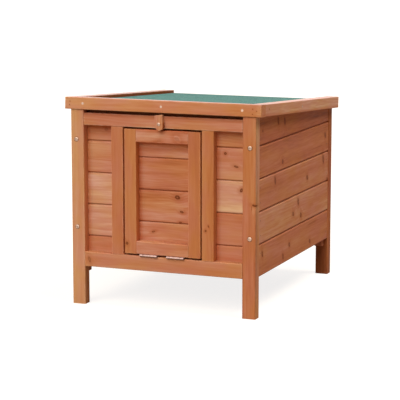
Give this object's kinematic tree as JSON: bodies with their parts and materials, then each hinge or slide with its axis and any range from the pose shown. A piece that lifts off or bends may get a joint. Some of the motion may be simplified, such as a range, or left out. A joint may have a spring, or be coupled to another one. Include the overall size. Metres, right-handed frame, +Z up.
{
  "type": "rabbit hutch",
  "caption": "Elevated wooden rabbit hutch: boarded cabin on legs with a drop-down ramp door, a turn button and a sloping felted roof that lifts at its rear hinges",
  "frame": {"origin": "on the ground under the middle of the overall box", "axes": "+Z up, the door faces -Y, +X to the right as seen from the door side"},
  "size_m": [0.426, 0.5182, 0.4315],
  "materials": {
    "fir_stained": "warm orange-brown stain, satin",
    "fir_inside": "warm orange-brown stain, matte",
    "roofing_felt": "green mineral-surfaced felt",
    "zinc_steel": "zinc-plated"
  },
  "bodies": {
    "hutch": {"leg_front_left": "fir_stained", "leg_front_right": "fir_stained", "leg_rear_left": "fir_stained", "leg_rear_right": "fir_stained", "rail_front_top": "fir_stained", "rail_front_bottom": "fir_stained", "rail_rear_top": "fir_stained", "rail_rear_bottom": "fir_stained", "jamb_left": "fir_stained", "jamb_right": "fir_stained", "boards_front_left": "fir_stained", "boards_front_right": "fir_stained", "boards_side_left": "fir_stained", "boards_side_right": "fir_stained", "boards_rear": "fir_stained", "batten_front_left": "fir_inside", "batten_front_right": "fir_inside", "batten_rear_left": "fir_inside", "batten_rear_right": "fir_inside", "bearer_left": "fir_inside", "bearer_right": "fir_inside", "floor_boards": "fir_inside", "door_stop_left": "fir_inside", "door_stop_right": "fir_inside", "leg_screws_front": "zinc_steel", "leg_screws_rear": "zinc_steel", "button_screw": "zinc_steel", "door_hinge_rail_leaves": "zinc_steel", "door_hinge_pins": "zinc_steel", "roof_hinge_rail_leaves": "zinc_steel", "roof_hinge_pins": "zinc_steel"},
    "door": {"door_stile_left": "fir_stained", "door_stile_right": "fir_stained", "door_rail_top": "fir_stained", "door_rail_bottom": "fir_stained", "door_boards": "fir_stained", "door_hinge_door_leaves": "zinc_steel"},
    "turn_button": {"turn_button": "fir_stained"},
    "roof": {"roof_front": "fir_stained", "roof_side_left": "fir_stained", "roof_side_right": "fir_stained", "roof_rear": "fir_inside", "roof_deck": "fir_inside", "roof_felt": "roofing_felt", "roof_cross_front": "fir_inside", "roof_cross_rear": "fir_inside", "roof_screws": "zinc_steel", "roof_hinge_roof_leaves": "zinc_steel"}
  },
  "joints": [
    {"name": "door_swing", "type": "hinge", "parent": "hutch", "child": "door", "pos_m": [0, -0.24968, 0.113], "axis": [1, 0, 0], "range_deg": [0, 115]},
    {"name": "button_turn", "type": "hinge", "parent": "hutch", "child": "turn_button", "pos_m": [-0.002, -0.25228, 0.3847], "axis": [0, 1, 0], "range_deg": [-180, 180]},
    {"name": "roof_lift", "type": "hinge", "parent": "hutch", "child": "roof", "pos_m": [0, 0.24972, 0.3732], "axis": [-1, 0, 0], "range_deg": [0, 100]}
  ]
}
